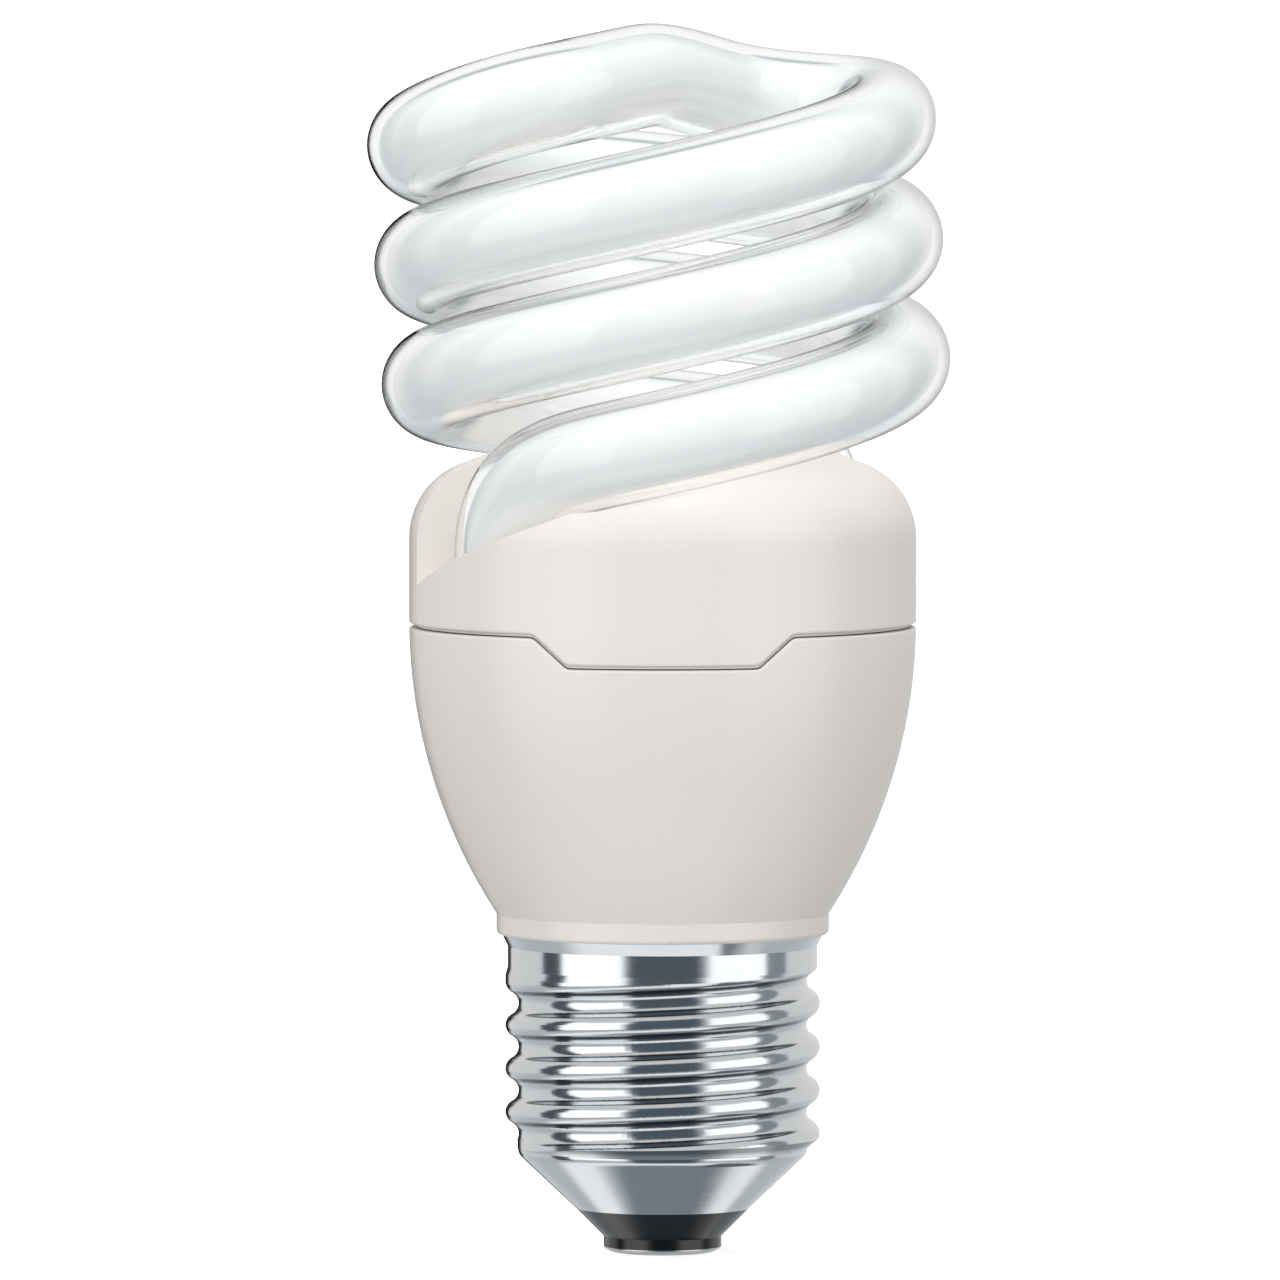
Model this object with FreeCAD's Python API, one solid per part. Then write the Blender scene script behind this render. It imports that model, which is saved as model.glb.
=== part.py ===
# Spiral energy saving lamp with an E27 screw cap, in millimetres.
# Z runs up the cap's axis from the face of the centre contact, and the front is at -Y.
import FreeCAD, Part
import math
import os
from FreeCAD import Placement, Rotation, Vector

# Cap, with its thread to the E27 standard
thread_major_d = 26.2
thread_minor_d = 24.0
thread_pitch = 3.629
thread_first_root_z = 9.9        # middle of the lowest whole root, on the left
thread_turns = 3.7               # from that root to where the thread runs out
thread_runout = 80.0             # degrees over which the root fades away at the top
thread_lead_in = 300.0           # degrees that the root starts before its lowest whole turn
thread_step = 20.0               # degrees between the points that set the thread
crest_lead_in = 120.0            # the same for the groove behind the crest
crest_stop = 290.0               # degrees before the root's end where that groove stops
crest_flat = 0.4                 # land left between two turns of the root
cap_sheet = 0.35
contact_d = 9.7
contact_t = 0.5
contact_face_d = 7.4             # flat face of the contact, inside its rounded rim
contact_edge_h = 0.42            # height of that rounded rim
eyelet_d = 3.0
neck_d = 9.8                     # neck of the black glass above the contact
neck_h = 0.85
insulator_reach = 0.75           # share of the cone that the black glass fills
insulator_lip = 1.0
insulator_floor = 1.0
rim_d = 14.5                     # lower rim of the metal shell
cone_top_d = 23.5
cone_h = 4.25
cone_shoulder = 1.0              # rounding between the cone and the thread
thread_bottom_rise = 1.65        # from the cone's top to the full crest diameter
thread_start_lift = 0.1          # plain start of the thread, above the root
thread_top_z = 23.2
thread_top_rise = 0.6            # from there up to the plain band
band_d = 25.8
lip_d = 26.8
lip_h = 1.0
lip_bend = 0.1

# Moulded housing
housing_d = 42.2
wall = 1.3
collar_z = 26.6                  # underside of the collar, on the shell's lip
collar_d = 27.7
collar_h = 1.7
collar_round = 0.35
bell_tangent_z = 52.7            # height where the bell's side turns upright
parting_z = 52.2
parting_gap = 0.33
parting_round = 0.22
parting_depth = 0.55             # depth of the groove that shows between the two mouldings
notch_top_w = 21.4
notch_bottom_w = 15.8
notch_depth = 2.5
notch_round = 0.9
spigot_depth = 4.0               # lap of the cover inside the lower housing
spigot_t = 1.1
neck_lap = 2.4                   # plastic neck inside the shell's plain band
fit_gap = 0.1

# Cover's dome and the two ramped recesses that the tube's legs go down into
cover_top_z = 69.0
dome_r = 45.0
shoulder_r = 6.5
ramp_wall_angle = 195.0          # upright end wall of the front recess
ramp_span = 98.0                 # degrees over which the floor climbs out of the dome
ramp_floor_z = 55.9              # floor at the end wall
ramp_rise_per_degree = 0.124
ramp_inner_r = 9.5

# Glass spiral
spiral_d = 47.4
tube_d = 8.7
turn_gap = 1.27                  # clear height between neighbouring turns
coil_z = 73.46                   # tube's axis at the first right-hand extreme
coil_lean = 3.45                 # the coil leans a little to the left
lean_pivot_z = 78.0
coil_start = 262.0               # angle where a leg leaves the helix
coil_end = 720.0
bridge_flat = 14                 # power that levels the bridge off at the top
bridge_skew = 0.8                # the bridge's front half stands higher than its rear half
coil_step = 15.0                 # degrees between the points that set the coil
sweep_piece = 35.0               # length of one edge of a swept path
leg_angle = 211.4
leg_gap = 0.45                   # between a leg and the cover's inner wall
leg_z = 56.5
leg_tilt = 6.7                   # degrees that a leg slopes inward
leg_length = 3.0
bend_reach_coil = 7.0
bend_reach_leg = 9.0
bore_reach = 50.0                # length of each tube end that the cover is cut clear of
tube_clearance = 0.3
cement_h = 1.8
cement_gap = 0.06                # keeps the cement off both faces that it lies between
pinch_w = 8.4
pinch_t = 2.6
pinch_taper = 3.2
pinch_h = 1.6
lead_in_d = 0.5
lead_in_spread = 3.6

# Ballast
board_t = 1.6
board_z = 44.8                   # underside, on the housing's ribs
board_gap = 0.4
rib_w = 1.6
rib_h = 5.0
rib_reach = 1.6
hole_gap = 0.1
lead_d = 0.6
lead_tail = 1.0
capacitor_d = 10.0
capacitor_h = 18.0
capacitor_x = -5.8
capacitor_lift = 1.0
can_crimp = 0.5
core_w = 13.0
core_h = 12.0
core_t = 6.0
core_leg = 3.4
core_side = 1.8
core_yoke = 2.0
choke_x = 6.2
bobbin_t = 0.6
winding_build = 2.2              # depth of the choke's turns over its core
winding_round = 1.0
film_size = Vector(8.0, 3.6, 7.5)
film_round = 0.72
film_lift = 0.5
film_y = 11.6
toroid_d = 7.0
toroid_bore = 3.6
toroid_h = 2.6
toroid_x = 8.4
toroid_y = 10.6
winding_t = 0.35
winding_span = 60.0
winding_angles = (20.0, 140.0, 260.0)
transistor_d = 4.6
transistor_h = 4.8
transistor_lift = 1.5
transistor_spots = ((8.6, -11.2), (-8.8, -9.6))
diode_d = 2.6
diode_h = 5.0
diode_spacing = 3.6
resistor_d = 1.9
resistor_h = 4.4
resistor_spots = ((4.8, 9.6), (4.8, -9.6), (-4.8, -9.6))
thermistor_d = 6.0
thermistor_t = 2.2
thermistor_x = -11.4
thermistor_y = 7.4
thermistor_lift = 1.0
fuse_d = 3.4
fuse_h = 9.0
fuse_x = 6.0
fuse_z = 12.5
fuse_board_x = 13.2
fuse_tail_up = 4.0
fuse_tail_down = 2.0
shell_lead_spot = (-8.2, -5.8)
shell_lead_drop = 2.0
shell_lead_rise = 1.0
wire_bend = 0.8
tool_reach = 1.0                 # how far a cutting tool stands out of what it cuts

# Sizes that follow from the ones above
major_r = thread_major_d / 2
minor_r = thread_minor_d / 2
thread_depth = major_r - minor_r
root_end = 180 + 360 * thread_turns
thread_round = ((thread_pitch / 2) ** 2 + thread_depth ** 2) / (4 * thread_depth)
lead_foot_z = 2 * contact_t
neck_z = contact_t + neck_h
rim_z = neck_z + (rim_d - neck_d) / 2
cone_top_z = rim_z + cone_h
housing_r = housing_d / 2
inner_r = housing_r - wall
collar_r = collar_d / 2
collar_top_z = collar_z + collar_h
bell_drop = bell_tangent_z - collar_top_z
bell_inset = housing_r - collar_r
bell_r = (bell_drop ** 2 + bell_inset ** 2) / (2 * bell_inset)
tube_r = tube_d / 2
coil_r = (spiral_d - tube_d) / 2
pitch = 2 * (tube_d + turn_gap)
leg_r = inner_r - leg_gap - tube_r
board_top = board_z + board_t
up = Vector(0, 0, 1)


def profile(start, *steps):
    """Closed XZ outline from (r, z) points; a step of four numbers is an arc through its first pair."""
    edges = []
    here = Vector(start[0], 0, start[1])
    for step in steps:
        there = Vector(step[-2], 0, step[-1])
        if len(step) == 4:
            edges.append(Part.Arc(here, Vector(step[0], 0, step[1]), there).toShape())
        else:
            edges.append(Part.makeLine(here, there))
        here = there
    edges.append(Part.makeLine(here, edges[0].Vertexes[0].Point))
    return Part.Wire(edges)


def turned(start, *steps):
    return Part.Face(profile(start, *steps)).revolve(Vector(), up, 360)


def rounded_path(points, radius):
    """Open wire through the points with an arc at each corner."""
    edges = []
    here = points[0]
    for before, corner, after in zip(points, points[1:], points[2:]):
        back = (before - corner).normalize()
        on = (after - corner).normalize()
        half = back.getAngle(on) / 2
        middle = (back + on).normalize()
        arc_start = corner + back * (radius / math.tan(half))
        arc_end = corner + on * (radius / math.tan(half))
        arc_mid = corner + middle * (radius / math.sin(half) - radius)
        edges.append(Part.makeLine(here, arc_start))
        edges.append(Part.Arc(arc_start, arc_mid, arc_end).toShape())
        here = arc_end
    edges.append(Part.makeLine(here, points[-1]))
    return Part.Wire(edges)


def rod(points, diameter, bend=wire_bend):
    """Round wire along the points."""
    start = Part.Circle(points[0], points[1] - points[0], diameter / 2).toShape()
    return rounded_path(points, bend).makePipeShell([Part.Wire([start])], True, False)


def box(centre, size):
    return Part.makeBox(size.x, size.y, size.z, centre - size * 0.5)


def half_turn(shape):
    return shape.rotated(Vector(), up, 180)


def bell_radius(z, inset=0.0):
    """Radius of the lower housing's bell at a height."""
    return housing_r - bell_r + math.sqrt((bell_r - inset) ** 2 - (bell_tangent_z - z) ** 2)


# Tube's centre line

def leaned(point):
    pivot = Vector(0, 0, lean_pivot_z)
    return Rotation(Vector(0, 1, 0), -coil_lean).multVec(point - pivot) + pivot


def helix_point(angle):
    a = math.radians(angle)
    return Vector(coil_r * math.cos(a), coil_r * math.sin(a), coil_z + pitch * (angle - 360) / 360)


def bridge_point(share, skew):
    """Half of the S across the top, from the last right-hand extreme to the axis."""
    a = math.pi * share
    rise = pitch / 4 * (share - share ** (bridge_flat + 1) / (bridge_flat + 1))
    height = helix_point(coil_end).z + rise + skew * math.sin(a) ** 2
    return Vector(coil_r / 2 * (1 + math.cos(a)), coil_r / 2 * math.sin(a), height)


def leg_frame():
    """Point at the top of the front leg's straight part, and the way that the leg goes down."""
    outward = Rotation(up, leg_angle).multVec(Vector(1, 0, 0))
    tilt = math.radians(leg_tilt)
    return outward * leg_r + up * leg_z, outward * -math.sin(tilt) - up * math.cos(tilt)


def strand(turn):
    """Points from the foot of a leg to the axis; turn is 0 for the front leg, 180 for the rear."""
    spin = Rotation(up, turn)
    top, down = [spin.multVec(v) for v in leg_frame()]
    start = leaned(spin.multVec(helix_point(coil_start)))
    back = (start - leaned(spin.multVec(helix_point(coil_start + 1)))).normalize()
    bend = Part.BezierCurve()
    bend.setPoles([top, top - down * bend_reach_leg, start + back * bend_reach_coil, start])
    points = [top + down * leg_length, top + down * (leg_length / 2)]
    points += [bend.value(i / 8) for i in range(8)]
    steps = round((coil_end - coil_start) / coil_step)
    step = (coil_end - coil_start) / steps
    points += [leaned(spin.multVec(helix_point(coil_start + step * i))) for i in range(steps)]
    skew = bridge_skew if turn else -bridge_skew
    points += [leaned(spin.multVec(bridge_point(i / 12, skew))) for i in range(12)]
    return points


def tube_curve():
    curve = Part.BSplineCurve()
    curve.interpolate(strand(0) + [leaned(bridge_point(1, 0))] + strand(180)[::-1])
    return curve


def swept_tube(curve, radius, first, last):
    """Round bar along the curve between two lengths, in several short edges."""
    pieces = max(1, round((last - first) / sweep_piece))
    lengths = [first + (last - first) * i / pieces for i in range(pieces + 1)]
    start = curve.FirstParameter
    spots = [curve.parameterAtDistance(s, start) if s else start for s in lengths]
    path = Part.Wire([curve.toShape(a, b) for a, b in zip(spots, spots[1:])])
    circle = Part.Circle(curve.value(spots[0]), curve.tangent(spots[0])[0], radius).toShape()
    return path.makePipeShell([Part.Wire([circle])], True, False)


# Cap

def on_arc(centre, radius, degrees):
    a = math.radians(degrees)
    return centre[0] + radius * math.cos(a), centre[1] + radius * math.sin(a)


def inside_cone(reach):
    """Point on the inner face of the shell's cone, the given share of the way up it."""
    run = cone_top_d / 2 - rim_d / 2
    slant = math.hypot(run, cone_h)
    r = rim_d / 2 - cap_sheet * cone_h / slant + run * reach
    return r, rim_z + cap_sheet * run / slant + cone_h * reach


def centre_contact():
    face_r = contact_face_d / 2
    edge = contact_d / 2 - face_r
    curve = (edge ** 2 + contact_edge_h ** 2) / (2 * contact_edge_h)
    sweep = math.degrees(math.asin(edge / curve))
    disc = turned((0, 0), (face_r, 0),
                  on_arc((face_r, curve), curve, sweep / 2 - 90) + (contact_d / 2, contact_edge_h),
                  (contact_d / 2, contact_t), (eyelet_d / 2, contact_t), (eyelet_d / 2, rim_z), (0, rim_z))
    lead_hole = Part.makeCylinder(lead_d / 2 + hole_gap, rim_z, Vector(0, 0, lead_foot_z))
    return disc.cut(lead_hole)


def cap_insulator():
    seat = inside_cone(0)
    brim = inside_cone(insulator_reach)
    floor_z = rim_z + insulator_floor
    return turned((eyelet_d / 2, contact_t), (neck_d / 2, contact_t), (neck_d / 2, neck_z),
                  (rim_d / 2, rim_z), seat, brim, (brim[0] - insulator_lip, brim[1]),
                  (eyelet_d, floor_z), (eyelet_d / 2, floor_z))


def thread_tool(points, first, last, base_z, runout):
    """Sweeps a closed (radial, axial) outline up the thread; its path leaves the metal over the run-out."""
    path_points = []
    steps = round((last - first) / thread_step)
    for i in range(steps + 1):
        angle = first + (last - first) * i / steps
        fade = max(0, 1 - (last - angle) / runout) if runout else 0
        r = minor_r + fade ** 2 * (thread_depth + cap_sheet)
        a = math.radians(angle)
        z = base_z + thread_pitch * (angle - 180) / 360
        path_points.append(Vector(r * math.cos(a), r * math.sin(a), z))
    curve = Part.BSplineCurve()
    curve.interpolate(path_points)
    turns = max(1, round((last - first) / 180))
    start = curve.FirstParameter
    length = curve.LastParameter - start
    spots = [start + length * i / turns for i in range(turns + 1)]
    path = Part.Wire([curve.toShape(a, b) for a, b in zip(spots, spots[1:])])
    section = profile(points[0], *points[1:])
    section.rotate(Vector(), up, first)
    section.translate(path_points[0])
    pipe = Part.BRepOffsetAPI.MakePipeShell(path)
    pipe.setBiNormalMode(up)
    pipe.add(section, False, False)
    pipe.build()
    pipe.makeSolid()
    return pipe.shape()


def root_tool():
    """Outer groove: the root's arc with half of a crest's arc on each side."""
    side = thread_pitch / 2 - crest_flat / 2
    lift = thread_depth - thread_round
    top = lift + math.sqrt(thread_round ** 2 - (crest_flat / 2) ** 2)
    quarter = thread_pitch / 4
    near = (thread_pitch / 2 + quarter) / 2
    shoulder = lift + math.sqrt(thread_round ** 2 - (thread_pitch / 2 - near) ** 2)
    clear = thread_depth + tool_reach
    points = [(clear, -side), (top, -side), (shoulder, -near, thread_depth / 2, -quarter),
              (0, 0, thread_depth / 2, quarter), (shoulder, near, top, side), (clear, side)]
    return thread_tool(points, 180 - thread_lead_in, root_end, thread_first_root_z, thread_runout)


def crest_tool():
    """Inner groove behind the crests, so that the rolled sheet is equally thick."""
    across = thread_depth - 2 * thread_round
    side = thread_pitch / 2 - crest_flat / 2
    bend = (thread_round + cap_sheet) / (2 * thread_round)
    join = (thread_round + across * bend, -thread_pitch / 2 * (1 - bend))
    low = thread_round - math.sqrt((thread_round + cap_sheet) ** 2 - (crest_flat / 2) ** 2)
    near = (side - join[1]) / 2
    slope = thread_round - math.sqrt((thread_round + cap_sheet) ** 2 - (thread_pitch / 2 - near) ** 2)
    clear = -cap_sheet - tool_reach
    points = [(clear, -side), (low, -side), (slope, -near) + join,
              (thread_depth - cap_sheet, 0, join[0], -join[1]), (slope, near, low, side), (clear, side)]
    middle = thread_first_root_z + thread_pitch / 2
    return thread_tool(points, 180 - crest_lead_in, root_end - crest_stop, middle, 0)


def thread_start():
    """Takes away the crest below the lowest root on the left, where the thread starts."""
    clear = thread_depth + tool_reach
    points = [(clear, -thread_pitch), (thread_start_lift, -thread_pitch), (thread_start_lift, 0), (clear, 0)]
    return thread_tool(points, 0, 180 + thread_runout, thread_first_root_z, thread_runout)


def screw_shell():
    bore_r = minor_r - cap_sheet
    bottom = inside_cone(0)
    run = cone_top_d / 2 - rim_d / 2
    bore_start = inside_cone((bore_r - bottom[0]) / run)
    band_r = band_d / 2
    lip_z = collar_z - lip_h
    step_z = collar_z - neck_lap - fit_gap - (band_r - minor_r)
    cone_top = (cone_top_d / 2, cone_top_z)
    lean = math.degrees(math.atan2(run, cone_h))
    shoulder = on_arc(cone_top, cone_shoulder, 180 - lean)
    blank = turned((rim_d / 2, rim_z), cone_top,
                   on_arc(shoulder, cone_shoulder, -lean / 2) + (shoulder[0] + cone_shoulder, shoulder[1]),
                   (major_r, cone_top_z + thread_bottom_rise),
                   (major_r, thread_top_z), (band_r, thread_top_z + thread_top_rise), (band_r, lip_z),
                   (lip_d / 2, collar_z),
                   (lip_d / 2 - cap_sheet, collar_z), (band_r - cap_sheet, lip_z + lip_bend),
                   (band_r - cap_sheet, step_z + band_r - minor_r), (bore_r, step_z), bore_start, bottom)
    return blank.cut(thread_start()).cut(root_tool()).cut(crest_tool())


# Moulded housing

def parting_block():
    """Everything below the parting line, with the notch at the front."""
    far = housing_d
    low = parting_z - far
    steps = [(-far, parting_z), (-notch_top_w / 2, parting_z), (-notch_bottom_w / 2, parting_z - notch_depth),
             (notch_bottom_w / 2, parting_z - notch_depth), (notch_top_w / 2, parting_z), (far, parting_z)]
    line = rounded_path([Vector(x, 0, z) for x, z in steps], notch_round)
    ends = [Vector(far, 0, parting_z), Vector(far, 0, low), Vector(-far, 0, low), Vector(-far, 0, parting_z)]
    closing = [Part.makeLine(a, b) for a, b in zip(ends, ends[1:])]
    front = Part.Face(Part.Wire(line.Edges + closing)).extrude(Vector(0, -far, 0))
    return front.fuse(Part.makeBox(2 * far, far, far, Vector(-far, 0, low))).removeSplitter()


def round_parting(shape):
    """Rounds the outer edges along the parting line."""
    low = parting_z - notch_depth - parting_gap
    high = parting_z + 2 * parting_gap
    edges = []
    for edge in shape.Edges:
        middle = edge.valueAt((edge.FirstParameter + edge.LastParameter) / 2)
        outside = math.hypot(middle.x, middle.y) > bell_radius(middle.z) - wall / 4
        if outside and low < middle.z < high:
            edges.append(edge)
    return shape.makeFillet(parting_round, edges)


def lower_housing():
    top = bell_tangent_z
    neck_r = band_d / 2 - cap_sheet - fit_gap / 2
    neck_bore = neck_r - wall
    foot = collar_z - neck_lap
    floor = collar_top_z + wall
    mid = (collar_top_z + top) / 2
    outer_mid = (bell_radius(mid), mid)
    inner_mid = (bell_radius(mid, wall), mid)
    round_mid = on_arc((collar_r - collar_round, collar_z + collar_round), collar_round, -45)
    body = turned((neck_bore, foot), (neck_r, foot), (neck_r, collar_z), (collar_r - collar_round, collar_z),
                  round_mid + (collar_r, collar_z + collar_round), (collar_r, collar_top_z),
                  outer_mid + (housing_r, top), (inner_r, top), inner_mid + (bell_radius(floor, wall), floor),
                  (neck_bore, collar_z))
    rib_out = bell_radius(board_z, wall / 2)
    rib_in = bell_radius(board_z, wall) - rib_reach
    rib = Part.makeBox(rib_out - rib_in, rib_w, rib_h, Vector(rib_in, -rib_w / 2, board_z - rib_h))
    solid_bell = turned((0, collar_top_z), (collar_r, collar_top_z), outer_mid + (housing_r, top), (0, top))
    ribs = [rib.rotated(Vector(), up, 90 * i).common(solid_bell) for i in range(4)]
    body = body.fuse(ribs).removeSplitter()
    return round_parting(body.common(parting_block()))


def dome(inset):
    """Solid inside the cover's skin, from below the notch to the top."""
    r = housing_r - inset
    low = parting_z - notch_depth - spigot_depth
    centre_z = cover_top_z - dome_r
    corner = housing_r - shoulder_r
    shoulder_z = centre_z + math.sqrt((dome_r - shoulder_r) ** 2 - corner ** 2)
    meet = math.degrees(math.atan2(shoulder_z - centre_z, corner))
    mid = (low + bell_tangent_z) / 2
    return turned((0, low), (bell_radius(low, inset), low), (bell_radius(mid, inset), mid, r, bell_tangent_z),
                  (r, shoulder_z),
                  on_arc((corner, shoulder_z), shoulder_r - inset, meet / 2)
                  + on_arc((corner, shoulder_z), shoulder_r - inset, meet),
                  on_arc((0, centre_z), dome_r - inset, (meet + 90) / 2) + (0, cover_top_z - inset))


def ramp(grow):
    """Helical ramp cut from the dome down to an upright wall; grow adds the skin around it."""
    path_r = (ramp_inner_r + housing_r) / 2
    first = ramp_wall_angle - math.degrees(grow / path_r)
    points = []
    for i in range(7):
        angle = first + ramp_span * i / 6
        a = math.radians(angle)
        z = ramp_floor_z + (angle - ramp_wall_angle) * ramp_rise_per_degree - grow
        points.append(Vector(path_r * math.cos(a), path_r * math.sin(a), z))
    curve = Part.BSplineCurve()
    curve.interpolate(points)
    reach = housing_r - path_r + wall
    depth = path_r - ramp_inner_r + grow
    height = cover_top_z - ramp_floor_z + 2 * grow
    section = profile((-depth, 0), (reach, 0), (reach, height), (-depth, height))
    section.rotate(Vector(), up, first)
    section.translate(points[0])
    pipe = Part.BRepOffsetAPI.MakePipeShell(Part.Wire([curve.toShape()]))
    pipe.setBiNormalMode(up)
    pipe.add(section, False, False)
    pipe.build()
    pipe.makeSolid()
    return pipe.shape()


def leg_sleeve(radius, above, below):
    """Straight cylinders around both legs, from above to below their feet."""
    top, down = leg_frame()
    front = Part.makeCylinder(radius, above + below, top + down * (leg_length - above), down)
    return [front, half_turn(front)]


def upper_cover(curve):
    length = curve.length()
    hole_r = tube_r + tube_clearance
    ramps = [ramp(0), half_turn(ramp(0))]
    ramp_skins = [ramp(wall), half_turn(ramp(wall))]
    hollow = dome(wall).cut(ramp_skins + leg_sleeve(hole_r + wall, 2 * leg_length, 0))
    spigot_r = bell_radius(parting_z - spigot_depth, wall) - fit_gap
    low = parting_z - spigot_depth
    seam = parting_z + 2 * parting_gap
    spigot = turned((spigot_r - spigot_t, low), (spigot_r, low), (spigot_r, seam), (inner_r + wall / 2, seam),
                    (inner_r + wall / 2, seam + spigot_t), (spigot_r - spigot_t, seam + spigot_t))
    below = parting_block().translated(up * parting_gap)
    ledge = dome(parting_depth).cut(dome(wall)).common(below).cut(parting_block().translated(up * fit_gap))
    skin = round_parting(dome(0).cut(below)).cut(ramps).cut(hollow).fuse([spigot, ledge])
    for first, last in ((0, bore_reach), (length - bore_reach, length)):
        skin = skin.cut(swept_tube(curve, hole_r, first, last))
    for tool in leg_sleeve(hole_r + fit_gap, fit_gap, pinch_taper + pinch_h + spigot_t):
        skin = skin.cut(tool)
    return skin


# Glass spiral and what holds its ends

def leg_foot():
    """Foot of the front leg's round part, the way down, and the width direction of its pinched end."""
    top, down = leg_frame()
    outward = Rotation(up, leg_angle).multVec(Vector(1, 0, 0))
    return top + down * leg_length, down, down.cross(outward)


def pinch():
    """Flattened and sealed end of the front leg."""
    foot, down, across = leg_foot()
    thick = across.cross(down)
    flat = Part.Ellipse(Vector(), pinch_w / 2, pinch_t / 2).toShape()
    round_end = Part.Circle(Vector(), up, tube_r).toShape()
    turn = Rotation(across, thick, down * -1, "ZXY")
    round_end.Placement = Placement(foot, turn)
    flat.Placement = Placement(foot + down * pinch_taper, turn)
    taper = Part.makeLoft([Part.Wire([round_end]), Part.Wire([flat])], True, True)
    tab = Part.Face(Part.Wire([flat])).extrude(down * pinch_h)
    return taper.fuse(tab)


def glass_spiral(curve):
    """One sealed bar of glass; its thin wall and white lining can't be seen into, so it is solid."""
    tube = swept_tube(curve, tube_r, 0, curve.length())
    return tube.fuse([pinch(), half_turn(pinch())])


def lead_in_wires():
    """Two wires of the front leg, from its pinched end down through the board."""
    foot, down, across = leg_foot()
    end = foot + down * (pinch_taper + pinch_h)
    wires = []
    spots = []
    for side in (-1, 1):
        start = end + across * (side * lead_in_spread / 2)
        knee = start + down
        bottom = Vector(knee.x, knee.y, board_z)
        wires.append(rod([start, knee, bottom], lead_in_d))
        spots.append((knee.x, knee.y))
    return Part.makeCompound(wires), spots


def tube_cement():
    """Ring of cement between the front leg and the cover's sleeve."""
    foot, down, _ = leg_foot()
    start = foot - down * cement_h
    ring = Part.makeCylinder(tube_r + tube_clearance - cement_gap, cement_h, start, down)
    return ring.cut(Part.makeCylinder(tube_r + cement_gap, cement_h, start, down))


# Ballast

def lead(spot, low, high, diameter=lead_d):
    return Part.makeCylinder(diameter / 2, high - low, Vector(spot[0], spot[1], low))


def hung(body, spots, top):
    """Part below the board, with leads from its top up through the board."""
    return body.fuse([lead(spot, top, board_top + lead_tail) for spot in spots]), spots


def circuit_board(spots):
    disc = Part.makeCylinder(bell_radius(board_z, wall) - board_gap, board_t, Vector(0, 0, board_z))
    return disc.cut([lead(spot, board_z, board_top, lead_d + 2 * hole_gap) for spot in spots])


def smoothing_capacitor():
    r = capacitor_d / 2
    h = capacitor_h
    crimp = can_crimp
    can = turned((0, 0), (r - crimp, 0), (r, crimp), (r, h - 5 * crimp), (r - crimp, h - 4 * crimp),
                 (r, h - 3 * crimp), (r, h - crimp), (r - crimp, h), (0, h))
    top = board_z - capacitor_lift
    can.translate(Vector(capacitor_x, 0, top - h))
    return hung(can, [(capacitor_x, -r / 2), (capacitor_x, r / 2)], top)


def choke():
    """Core, bobbin and winding, with the core's top against the board."""
    middle = Vector(choke_x, 0, board_z - core_h / 2)
    window_h = core_h - 2 * core_yoke
    window_w = (core_w - core_leg) / 2 - core_side
    window_y = (core_leg + window_w) / 2
    core = box(middle, Vector(core_t, core_w, core_h))
    for side in (-1, 1):
        core = core.cut(box(middle + Vector(0, side * window_y, 0), Vector(2 * core_t, window_w, window_h)))
    hole = Vector(core_t + 2 * fit_gap, core_leg + 2 * fit_gap, core_h)
    tube = Vector(hole.x + 2 * bobbin_t, hole.y + 2 * bobbin_t, window_h - 2 * fit_gap)
    flange = Vector(core_t + 2 * winding_build, core_leg + 2 * window_w - 2 * fit_gap, bobbin_t)
    bobbin = box(middle, tube)
    for side in (-1, 1):
        bobbin = bobbin.fuse(box(middle + Vector(0, 0, side * (tube.z - bobbin_t) / 2), flange))
    bobbin = bobbin.cut(box(middle, hole))
    coil = Vector(flange.x - 2 * fit_gap, flange.y - 2 * fit_gap, tube.z - 2 * bobbin_t)
    winding = box(middle, coil)
    upright = [e for e in winding.Edges if e.Vertexes[0].Point.sub(e.Vertexes[1].Point).z]
    winding = winding.makeFillet(winding_round, upright)
    winding = winding.cut(box(middle, Vector(tube.x, tube.y, coil.z)))
    pin_x = flange.x / 2 - lead_d
    pins = [(choke_x - pin_x, 0), (choke_x + pin_x, 0)]
    bobbin, spots = hung(bobbin, pins, middle.z + tube.z / 2)
    return core, bobbin, winding, spots


def film_capacitor(y):
    top = board_z - film_lift
    body = box(Vector(0, y, top - film_size.z / 2), film_size)
    body = body.makeFillet(film_round, body.Edges)
    pin_x = film_size.x / 2 - lead_d
    return hung(body, [(-pin_x, y), (pin_x, y)], top)


def drive_transformer():
    """Toroid lying under the board, and its three windings."""
    spot = Vector(toroid_x, toroid_y, board_z - winding_t - toroid_h)
    inner = toroid_bore / 2
    outer = toroid_d / 2
    ring = turned((inner, 0), (outer, 0), (outer, toroid_h), (inner, toroid_h)).translated(spot)
    t = winding_t
    wrap = Part.Face(profile((inner - t, -t), (outer + t, -t), (outer + t, toroid_h + t),
                             (inner - t, toroid_h + t)))
    bore = Part.Face(profile((inner, 0), (outer, 0), (outer, toroid_h), (inner, toroid_h)))
    sector = wrap.cut(bore).revolve(Vector(), up, winding_span)
    windings = []
    spots = []
    for angle in winding_angles:
        a = math.radians(angle + winding_span / 2)
        pin = (spot.x + (inner + outer) / 2 * math.cos(a), spot.y + (inner + outer) / 2 * math.sin(a))
        winding = sector.rotated(Vector(), up, angle).translated(spot)
        windings.append(winding.fuse(lead(pin, board_z, board_top + lead_tail)))
        spots.append(pin)
    return ring, Part.makeCompound(windings), spots


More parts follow.
